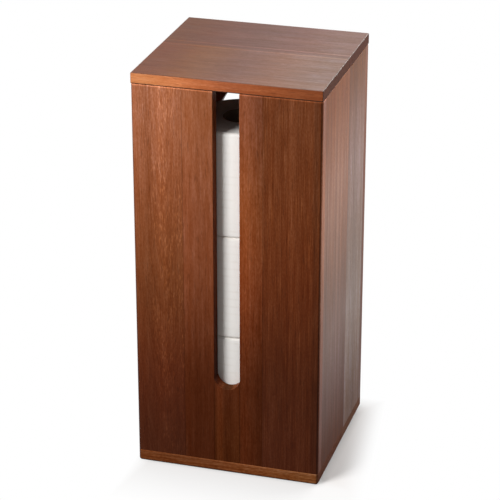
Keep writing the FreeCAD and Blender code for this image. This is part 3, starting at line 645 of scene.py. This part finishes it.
# %% Wood: the whole recipe
def stained_wood(name, grain, heart, lean, stain, seed, rings=0.15, sway=4.0, flecks=0.4,
                 fleck_long=5.0, figure=None, fibres=0.17, streak=0.10, stripes=0.12, gloss=0.05,
                 sheen=0.06, corner=0.55, edge_highlight=PAINTED_EDGE_HIGHLIGHT, dull=0.0, end=END_GRAIN,
                 end_rough=0.95, edge=(), lines=()):
    """Wood whose heart passes heart = (across, deep) mm from the origin and leans by lean per mm."""
    material, tree, output = new_material(name)
    board = board_space(tree, grain, seed)
    fibre = streaks(tree, board.own_spot, FIBRE_MM, FIBRE_LONG_MM, 2.0)
    radius = heart_distance(tree, board, heart, lean, sway)
    ring_shade = year_rings(tree, radius, fibre, rings)
    left_by_grain = grain_colour(tree, board, fibre, ring_shade, streak, fibres)
    stained = stain_colour(tree, board, stain, edge, end)
    grained = add(tree, "ShaderNodeVectorMath", {0: stained, 1: left_by_grain},
                  operation="MULTIPLY")
    shade = broad_shade(tree, board, stripes, painted_edge_light(tree, board, corner, edge_highlight), lines)
    shaded = add(tree, "ShaderNodeVectorMath", {0: grained, "Scale": shade}, operation="SCALE")
    with_pores, pore = pored(tree, board, shaded)
    finished = flecked(tree, board, with_pores, flecks, fleck_long, figure).outputs[2]
    roughness = lacquer_roughness(tree, board, fibre, dull, end_rough)
    shader = lacquered(tree, finished, fibre, pore, roughness, gloss, sheen)
    tree.links.new(shader.outputs[0], output.inputs["Surface"])
    return material


print("the recipe for wood is ready")

# %% [markdown]
# ## The boards of the front
# Each board is given its own heart, lean and stain, because a glued-up panel is made of boards
# that never match. The outer board on the left has pointed arches and a leaning band of flecks.
# The next one is plain, and the two on the right are straight-grained, the outer one with long
# pale threads. Between them, under the slot, stands a short block whose round end shows its end
# grain. The stain colours of an upright board run from its foot, where they are darker, to its head.
# A painted highlight lies on the edges of the slot and on the block's end, and a painted shade runs
# down the front-right corner.

# %% Front boards
# a painted highlight along the lit top edge of the front boards, just under the lid
PAINTED_HIGHLIGHT_UNDER_LID = ("Z", 427.6, 0.8, 1.5)
PLAIN = dict(gloss=0.02, sheen=0.0)
BOARDS = {
    # node: grain, heart across and deep, lean, stain, and what is special
    "front_left_outer_board": (
        "z", (-66, -58), (0.008, 0.09), ("4c2210", "5f2c15", "753f22", "8c4f30", "a26345"),
        dict(flecks=1.6, fleck_long=7.0, figure=(-52, -0.03, 30), sway=3.0, rings=0.20,
             lines=[PAINTED_HIGHLIGHT_UNDER_LID])),
    # corner 1.6: a painted highlight on this board's edge beside the slot
    "front_left_inner_board": (
        "z", (60, 60), (0.01, 0.03), ("4e2310", "592a15", "7b4228", "8a4e32", "95593b"),
        dict(PLAIN, corner=1.6, flecks=0.2, fibres=0.12, rings=0.1, lines=[PAINTED_HIGHLIGHT_UNDER_LID],
             edge=("X", ("4e1f09", "59250d", "7b3b1b", "8a4623", "95502a")))),
    # end above 1 paints the block's end grain lighter, a painted highlight at the bottom of the slot
    "front_centre_block": (
        "z", (-190, 90), (0.02, 0.02), ("51260f", "5e2d17", "763d23", "884b2e", "95583c"),
        dict(PLAIN, corner=0.9, edge_highlight=1.8, end=(1.2, 1.7, 2.2), lines=[("X", -8.0, 5.0, 1.4)])),
    # corner 1.5: a painted highlight on this board's edge beside the slot
    "front_right_inner_board": (
        "z", (250, 30), (0.01, 0.0), ("4c220f", "522612", "73391e", "7e4426", "77432c"),
        dict(PLAIN, corner=1.5, lines=[PAINTED_HIGHLIGHT_UNDER_LID, ("X", 10.0, 24.0, 1.5)])),
    # corner 0.45 and the dark line at X 94 mm paint a shade down the front-right corner; the greyed
    # colours of the edge facing X are a painted sheen, like the side's
    "front_right_outer_board": (
        "z", (-160, 60), (0.01, 0.02), ("4e2310", "50240f", "622e14", "6b361a", "6c391e"),
        dict(fibres=0.18, flecks=0.9, fleck_long=45.0, streak=0.16, gloss=0.06, sheen=0.0,
             corner=0.45, lines=[PAINTED_HIGHLIGHT_UNDER_LID, ("X", 94.0, 4.0, 0.76)],
             edge=("X", ("582a17", "703e2a", "945f46", "ae7053", "935538")))),
}
print(len(BOARDS), "boards in the front")

# %% [markdown]
# ## The sides and the back
# The right side is seen at a flat angle, so its lacquer shines over a paler brown, in fine upright
# stripes, and its stain colours are greyed too, a painted sheen beside the real one. The left side
# and the back hardly show to the camera. They are stained alike, and only the arch's head is
# stained darker, a painted shade, since it stands in the shade above the rolls.

# %% Side and back boards
UNSEEN_STAIN = ("4c220f", "66351c", "824a2c")
STRIPED = dict(streak=0.27, stripes=0.14, fibres=0.20, sheen=0.05)
BOARDS.update({
    "left_side_front_board": ("z", (-70, -260), (0.02, 0.03), UNSEEN_STAIN, dict(streak=0.2)),
    "left_side_rear_board": ("z", (-60, 40), (0.10, 0.02), UNSEEN_STAIN, dict(streak=0.2)),
    # greyed stain colours: a painted sheen, added to the lacquer's own gloss
    "right_side_front_board": (
        "z", (270, -290), (0.02, 0.03), ("451e0a", "644439", "764a31", "976246", "83461c"),
        dict(STRIPED, gloss=0.11, dull=0.32)),
    "right_side_rear_board": (
        "z", (360, 260), (0.02, 0.03), ("604a42", "776259", "735748", "826054", "68370e"),
        dict(STRIPED, gloss=0.14, dull=0.36)),
    "back_left_board": ("z", (-30, 320), (0.01, 0.03), UNSEEN_STAIN, {}),
    # darker stain: a painted shade for the head of the arch, which stands in the shade
    "back_arch_head": ("z", (30, 135), (0.02, 0.08), ("4c220f", "532915", "452010"), {}),
    "back_sill": ("z", (-20, 135), (0.01, 0.06), UNSEEN_STAIN, {}),
    "back_right_board": ("z", (300, 60), (0.01, 0.03), UNSEEN_STAIN, {}),
})
print(len(BOARDS), "boards with the sides and the back")

# %% [markdown]
# ## The base, the lid and what lies inside
# The base shows its narrow long-grain edge as a lighter band along the foot, with a painted
# highlight along its top. The lid is the smoothest surface of the box, with a long grey gloss on top
# that is partly the lamps' and partly painted, as stain that greys and pales towards the right. It
# has a warm front edge, a painted reflection near the front of its top, a painted shadow under its
# front edge, and a pale line beside its joint. Its ends are dark end grain. The strips under the
# lid, the raised floor and the strips under that are plain. The colours of a lying board run from
# left to right.

# %% Lying boards
LYING_STAIN = ("6b381b", "6b381b")
BASE = dict(end=(0.5, 0.5, 0.5), end_rough=0.6, gloss=0.03, sheen=0.0)
LID = dict(rings=0.06, streak=0.07, stripes=0.07, fibres=0.10, gloss=0.15, sheen=0.0, edge_highlight=0.7,
           end=(0.33, 0.16, 0.09))
BOARDS.update({
    # the pale line at Z 12.7 mm is a painted highlight on the base's top edge
    "base_front_board": (
        "x", (-40, -90), (0.02, 0.01), ("723d1e", "723e20", "7f4725", "84502d"),
        dict(BASE, flecks=0.9, fibres=0.28, streak=0.22, edge=("X", ("703f29", "703f29")),
             lines=[("Z", 12.7, 0.9, 1.5)])),
    "base_rear_board": (
        "x", (60, -90), (0.02, 0.01), LYING_STAIN, dict(BASE, edge=("X", ("774b36", "774b36")))),
    # the stain greys and pales to the right, a painted gloss; the dark line at Z 429 mm is a painted
    # shadow in the gap under the lid, and the band at Y -84 mm a painted reflection near the front
    "lid_front_board": (
        "x", (-250, 330), (0.02, 0.03), ("683519", "744628", "744e40", "855f4e", "896c60"),
        dict(LID, lines=[("Z", 429.0, 0.9, 0.3), ("Y", 4.0, 1.4, 1.5), ("Y", -84.0, 16.0, 1.14)],
             edge=("Y", ("c0794b", "b86b40", "9a5330", "8f4b27", "7b3e1d")))),
    # the stain greys and pales to the right like the front board's, a painted gloss
    "lid_rear_board": (
        "x", (40, 290), (0.01, 0.04), ("623419", "683e2f", "6e4a3f", "7c574c", "85655a"),
        dict(LID, lines=[("Y", 16.0, 1.4, 1.6)])),
    "lid_batten_left": ("x", (10, 300), (0.01, 0.03), LYING_STAIN, {}),
    "lid_batten_right": ("x", (90, 300), (0.01, 0.03), LYING_STAIN, {}),
    "raised_floor": ("x", (20, -60), (0.02, 0.03), LYING_STAIN, {}),
    "floor_cleat_left": ("x", (40, -60), (0.02, 0.03), LYING_STAIN, {}),
    "floor_cleat_right": ("x", (-40, -60), (0.02, 0.03), LYING_STAIN, {}),
})
print(len(BOARDS), "boards in all")

# %% [markdown]
# ## Glue joints, and dressing the boards
# Two boards that were glued edge to edge share a thin dark line. Its place is read from the packed
# model, at the far side of the first board of each pair, so it lies right on the joint. With its
# own lines and its joints, each board gets a material of its own.

# %% Dress the boards
GLUE_LINE = (0.6, 0.72)    # half width in mm and factor
JOINTS = [
    # the two boards of a glue joint, and the direction across it
    ("front_left_outer_board", "front_left_inner_board", "X"),
    ("front_left_inner_board", "front_centre_block", "X"),
    ("front_centre_block", "front_right_inner_board", "X"),
    ("front_right_inner_board", "front_right_outer_board", "X"),
    ("left_side_front_board", "left_side_rear_board", "Y"),
    ("right_side_front_board", "right_side_rear_board", "Y"),
    ("back_left_board", "back_arch_head", "X"),
    ("back_arch_head", "back_right_board", "X"),
    ("back_left_board", "back_sill", "X"),
    ("back_sill", "back_right_board", "X"),
    ("base_front_board", "base_rear_board", "Y"),
    ("lid_front_board", "lid_rear_board", "Y"),
]


def dress(name, material):
    """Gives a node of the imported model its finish."""
    for slot in nodes[name].material_slots:
        slot.material = material


for seed, (name, (grain, heart, lean, stain, special)) in enumerate(BOARDS.items(), start=1):
    lines = list(special.get("lines", ()))
    for first, second, axis in JOINTS:
        if name in (first, second):
            lines.append((axis, getattr(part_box(first)[1], axis.lower()) / MM, *GLUE_LINE))
    look = dict(special, lines=lines)
    dress(name, stained_wood("stained_" + name, grain, heart, lean, stain, seed, **look))
print(len(BOARDS), "boards stained,", len(JOINTS), "glue joints drawn")

# %% [markdown]
# ## Screws of zinc-plated steel
# The screws are steel wire with a thin coat of zinc, which looks like a bluish white metal whose
# gloss changes from spot to spot. So one cloudy noise drives both its tint and its roughness. The
# screws sit inside the boards, and only some of their heads show from below.

# %% Screws
PLATING_PER_MM = 0.9
PLATING_ROUGH = (0.25, 0.50)


def zinc_plated_steel():
    """Bluish white plating: a metal whose gloss changes from spot to spot."""
    material, tree, output = new_material("zinc_plated_steel")
    spot = add(tree, "ShaderNodeTexCoord").outputs["Object"]
    cloud = add(tree, "ShaderNodeTexNoise", {
        "Vector": spot, "Scale": PLATING_PER_MM / MM, "Detail": 3.0}).outputs["Fac"]
    tint = add(tree, "ShaderNodeMix", {0: cloud, 6: paint("b9bcc0"), 7: paint("d8d6cf")},
               data_type="RGBA")
    gloss = add(tree, "ShaderNodeMapRange", {
        "Value": cloud, "To Min": PLATING_ROUGH[0], "To Max": PLATING_ROUGH[1]})
    shader = add(tree, "ShaderNodeBsdfPrincipled", {
        "Base Color": tint.outputs[2], "Metallic": 1.0, "Roughness": gloss})
    tree.links.new(shader.outputs[0], output.inputs["Surface"])
    return material


steel = zinc_plated_steel()
screws = ("base_screws", "floor_screws", "lid_batten_screws")
for name in screws:
    dress(name, steel)
print(len(screws), "nodes of screws dressed")

# %% [markdown]
# ## Dowels of beech
# The dowels are turned beech, pale and close-grained, with no finish on them. Their grain runs
# along them, from front to rear, so the noise is drawn out in that direction.

# %% Dowels
BEECH_PER_MM = (1, 0.05, 1)
BEECH_ROUGHNESS = 0.6


def beech():
    """Pale pinkish wood with short rays, cut along the dowel."""
    material, tree, output = new_material("beech")
    spot = add(tree, "ShaderNodeTexCoord").outputs["Object"]
    per_metre = [count / MM for count in BEECH_PER_MM]
    squeezed = add(tree, "ShaderNodeVectorMath", {0: spot, 1: per_metre}, operation="MULTIPLY")
    grain = add(tree, "ShaderNodeTexNoise", {"Vector": squeezed, "Scale": 1.0, "Detail": 4.0})
    tint = add(tree, "ShaderNodeMix", {
        0: grain.outputs["Fac"], 6: paint("d9b48c"), 7: paint("c1946a")}, data_type="RGBA")
    shader = add(tree, "ShaderNodeBsdfPrincipled", {
        "Base Color": tint.outputs[2], "Roughness": BEECH_ROUGHNESS})
    tree.links.new(shader.outputs[0], output.inputs["Surface"])
    return material


peg_wood = beech()
dowels = ("front_corner_dowels", "rear_corner_dowels")
for name in dowels:
    dress(name, peg_wood)
print(len(dowels), "nodes of dowels dressed")

# %% [markdown]
# ## Cardboard cores
# A core is grey-brown board wound on a slant, so a thin seam climbs round it like a thread. The
# seam lies where the height, counted in turns, and the angle round the core add up to a whole
# number. The felted fibres of the board are fine noise, for its tint and for its relief.

# %% Cardboard
SEAM_PITCH_MM = 70.0
SEAM_SHARE = 0.02
FELT_PER_MM = 0.7
FELT_MM = 0.1
FELT_STRENGTH = 0.4
BOARD_ROUGHNESS = 0.9


def grey_cardboard(axis):
    """Wound board: felted fibres and one slanting seam round the axis of the core."""
    material, tree, output = new_material("grey_cardboard")
    spot = add(tree, "ShaderNodeTexCoord").outputs["Object"]
    centred = add(tree, "ShaderNodeVectorMath", {0: spot, 1: axis}, operation="SUBTRACT")
    split = add(tree, "ShaderNodeSeparateXYZ", {"Vector": centred})
    angle = add(tree, "ShaderNodeMath", {0: split.outputs["Y"], 1: split.outputs["X"]},
                operation="ARCTAN2")
    turn = add(tree, "ShaderNodeMath", {0: angle, 1: math.tau}, operation="DIVIDE")
    climb = add(tree, "ShaderNodeMath", {
        0: split.outputs["Z"], 1: 1 / (SEAM_PITCH_MM * MM), 2: turn}, operation="MULTIPLY_ADD")
    phase = add(tree, "ShaderNodeMath", {0: climb}, operation="FRACT")
    seam = add(tree, "ShaderNodeMath", {0: phase, 1: SEAM_SHARE}, operation="LESS_THAN")
    felt = add(tree, "ShaderNodeTexNoise", {
        "Vector": spot, "Scale": FELT_PER_MM / MM, "Detail": 5.0}).outputs["Fac"]
    tint = add(tree, "ShaderNodeMix", {0: felt, 6: paint("b3a18a"), 7: paint("8f7d68")},
               data_type="RGBA")
    seamed = add(tree, "ShaderNodeMix", {0: seam, 6: tint.outputs[2], 7: paint("6d5d4c")},
                 data_type="RGBA")
    bump = add(tree, "ShaderNodeBump", {
        "Strength": FELT_STRENGTH, "Distance": FELT_MM * MM, "Height": felt})
    shader = add(tree, "ShaderNodeBsdfPrincipled", {
        "Base Color": seamed.outputs[2], "Roughness": BOARD_ROUGHNESS, "Normal": bump})
    tree.links.new(shader.outputs[0], output.inputs["Surface"])
    return material


roll_low, roll_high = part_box("bottom_roll_paper")
roll_axis = ((roll_low.x + roll_high.x) / 2, (roll_low.y + roll_high.y) / 2, 0)
cardboard = grey_cardboard(roll_axis)
for where in ("bottom", "middle", "top"):
    dress(where + "_roll_core", cardboard)
print("cores stand at", [round(part / MM, 1) for part in roll_axis[:2]], "mm")

# %% [markdown]
# ## Pressed rows in the tissue
# Toilet paper is embossed, and on a roll the dots add up to faint rows round it. They come and go,
# because the strip never lies quite the same way twice. So the rows are a sine of the height, and
# a soft noise says how deep they are in each patch.

# %% Tissue: pressed rows
ROW_MM = 8.5
ROW_FROM = 0.4                     # the part of a wave above this is pressed
ROW_DEPTH = 0.38
PATCH_MM = 14.0
PATCH_NOISE = (0.35, 0.65)


def pressed_rows(tree, spot):
    """Grooves round the roll, deeper in one patch than in another."""
    height = add(tree, "ShaderNodeSeparateXYZ", {"Vector": spot}).outputs["Z"]
    rows = add(tree, "ShaderNodeMath", {0: height, 1: math.tau / (ROW_MM * MM)},
               operation="MULTIPLY")
    wave = add(tree, "ShaderNodeMath", {0: rows}, operation="SINE")
    patch = add(tree, "ShaderNodeTexNoise", {
        "Vector": spot, "Scale": 1 / (PATCH_MM * MM), "Detail": 1.0}).outputs["Fac"]
    deepest = add(tree, "ShaderNodeMapRange", {
        "Value": patch, "From Min": PATCH_NOISE[0], "From Max": PATCH_NOISE[1],
        "To Max": ROW_DEPTH})
    return add(tree, "ShaderNodeMapRange", {
        "Value": wave, "From Min": ROW_FROM, "From Max": 1.0, "To Max": deepest})


print("pressed rows are", ROW_MM, "mm apart")

# %% [markdown]
# ## Tissue
# The paper is matt and soft. Its outside has pressed dots, the rows and a fine crepe, which are
# added up to one height for the bump, and the rows, broken by the crepe, are also painted a little
# darker, a painted shade in the grooves. On the ends of a roll the edges of the layers show as fine
# uneven rings, and noise that depends only on the distance from the axis takes the place of the
# dots.

# %% Tissue: the whole recipe
QUILT_MM = 6.0
QUILT_RANDOMNESS = 0.35
CREPE_PER_MM = 1.5
LAYERS_PER_MM = 0.9
PRESSED_MM = 0.35
PRESSED_STRENGTH = 0.35
TISSUE_ROUGHNESS = 0.9
TISSUE_GLOSS = 0.5
FLUFF = 0.30
FLUFF_ROUGHNESS = 0.6


def embossed_tissue(axis):
    """Two-ply tissue: matt, soft, with pressed dots on the outside and layers on the ends."""
    material, tree, output = new_material("embossed_tissue")
    coordinates = add(tree, "ShaderNodeTexCoord")
    spot = add(tree, "ShaderNodeVectorMath", {0: coordinates.outputs["Object"], 1: axis},
               operation="SUBTRACT")
    dots = add(tree, "ShaderNodeTexVoronoi", {
        "Vector": spot, "Scale": 1 / (QUILT_MM * MM), "Randomness": QUILT_RANDOMNESS})
    crepe = add(tree, "ShaderNodeTexNoise", {
        "Vector": spot, "Scale": CREPE_PER_MM / MM, "Detail": 4.0}).outputs["Fac"]
    flat = add(tree, "ShaderNodeVectorMath", {0: spot, 1: (1, 1, 0)}, operation="MULTIPLY")
    radius = add(tree, "ShaderNodeVectorMath", {0: flat}, operation="LENGTH").outputs["Value"]
    layers = add(tree, "ShaderNodeTexNoise", {
        "Scale": LAYERS_PER_MM / MM, "W": radius, "Detail": 3.0},
        noise_dimensions="1D").outputs["Fac"]
    facing = add(tree, "ShaderNodeSeparateXYZ", {"Vector": coordinates.outputs["Normal"]})
    end_on = add(tree, "ShaderNodeMath", {0: facing.outputs["Z"]}, operation="ABSOLUTE")
    groove = pressed_rows(tree, spot)
    pressed = add(tree, "ShaderNodeMath", {0: groove, 1: dots.outputs["Distance"], 2: crepe},
                  operation="MULTIPLY_ADD")
    side_relief = add(tree, "ShaderNodeMath", {0: dots.outputs["Distance"], 1: pressed},
                      operation="ADD")
    relief = add(tree, "ShaderNodeMix", {0: end_on, 2: side_relief, 3: layers})
    bump = add(tree, "ShaderNodeBump", {
        "Strength": PRESSED_STRENGTH, "Distance": PRESSED_MM * MM, "Height": relief})
    # painted shade: the grooves of the rows, broken by the crepe, darken the tissue's colour
    side_shade = add(tree, "ShaderNodeMath", {0: groove, 1: crepe}, operation="MULTIPLY")
    shade = add(tree, "ShaderNodeMix", {0: end_on, 2: side_shade, 3: layers})
    tint = add(tree, "ShaderNodeMix", {0: shade, 6: paint("faf8f4"), 7: paint("e2dcd2")},
               data_type="RGBA")
    shader = add(tree, "ShaderNodeBsdfPrincipled", {
        "Base Color": tint.outputs[2], "Roughness": TISSUE_ROUGHNESS,
        "Specular IOR Level": TISSUE_GLOSS, "Sheen Weight": FLUFF,
        "Sheen Roughness": FLUFF_ROUGHNESS, "Normal": bump})
    tree.links.new(shader.outputs[0], output.inputs["Surface"])
    return material


tissue = embossed_tissue(roll_axis)
print("tissue has dots", QUILT_MM, "mm apart")

# %% [markdown]
# ## The section of a roll
# A plain ring could stand for a roll, but its ends would be too clean and its rims too hard. So the
# roll is turned from a section of many points: over the end, where single layers stand back by up
# to a seventh of a millimetre, round the soft rim, and down the outside to half height. The lower
# half mirrors the upper one.

# %% Roll section
RIM_MM = 3.0
RIM_TURNS = (20, 40, 60, 80)    # degrees round the rim
END_RINGS = 26
RIPPLE_MM = 0.14
WALL_STEPS = 3


def roll_section(inner, outer, height, draw):
    """The section of a roll, from the bore over the top to the outside and back below."""
    rim = RIM_MM * MM
    reach = outer - inner - rim
    top = []
    for step in range(END_RINGS + 1):
        dip = draw.uniform(0, RIPPLE_MM) * MM if 0 < step < END_RINGS else 0
        top.append((inner + reach * step / END_RINGS, height - dip))
    turns = [math.radians(degrees) for degrees in RIM_TURNS]
    corner = [(outer - rim + rim * math.sin(turn), height - rim + rim * math.cos(turn))
              for turn in turns]
    wall = [(outer, height - rim - (height - 2 * rim) * step / (2 * WALL_STEPS))
            for step in range(WALL_STEPS + 1)]
    upper = top + corner + wall
    lower = [(across, height - up) for across, up in reversed(upper[:-1])]
    return upper + lower


print("a roll's end has", END_RINGS, "rings of layers")

# %% [markdown]
# ## Winding the rolls
# A roll is one long strip, so its outline is a spiral and not a circle: the outside steps down by
# one loose layer where the strip ends. The section is carried once round the core while its radius
# grows, and that gives the step its real edge. The end of the strip is turned away from the slot.
# Each roll is a hair smaller than its place, so that two of them never share a plane.

# %% Winding
STEP_MM = 0.45
EASE_MM = 0.05
SEGMENTS = 180
STRIP_END = (60, 120)    # degrees, where 90 is straight to the rear


def wind_roll(where, body, seed):
    """One roll of paper in the place of its node, with a stepped end to its strip."""
    low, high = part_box(where + "_roll_paper")
    core_low, core_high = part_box(where + "_roll_core")
    inner = (core_high.x - core_low.x) / 2 + EASE_MM * MM
    outer = (high.x - low.x) / 2 - EASE_MM * MM
    foot = low.z + EASE_MM * MM
    height = high.z - EASE_MM * MM - foot
    draw = random.Random(seed)
    section = roll_section(inner, outer, height, draw)
    start = draw.uniform(math.radians(STRIP_END[0]), math.radians(STRIP_END[1]))
    points, faces = [], []
    for step in range(SEGMENTS + 1):
        turn = step / SEGMENTS
        angle = start + math.tau * turn
        for across, up in section:
            swell = STEP_MM * MM * (1 - turn) * (across - inner) / (outer - inner)
            reach = across - swell
            points.append((roll_axis[0] + reach * math.cos(angle),
                           roll_axis[1] + reach * math.sin(angle), foot + up))
    size = len(section)
    for step in range(SEGMENTS + 1):
        here, there = step * size, (step + 1) % (SEGMENTS + 1) * size
        for index in range(size):
            after = (index + 1) % size
            faces.append((here + index, there + index, there + after, here + after))
    mesh = bpy.data.meshes.new(where + "_roll_sheet")
    mesh.from_pydata(points, [], faces)
    mesh.validate()
    mesh.update()
    for face in mesh.polygons:
        face.use_smooth = True
    mesh.materials.append(tissue)
    roll = bpy.data.objects.new(where + "_roll_sheet", mesh)
    bpy.context.scene.collection.objects.link(roll)
    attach(roll, body)
    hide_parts(where + "_roll_paper")
    print(roll.name, len(mesh.polygons), "faces,", round(height / MM, 1), "mm high")


for seed, where in enumerate(("bottom", "middle", "top"), start=11):
    wind_roll(where, where + "_roll", seed)
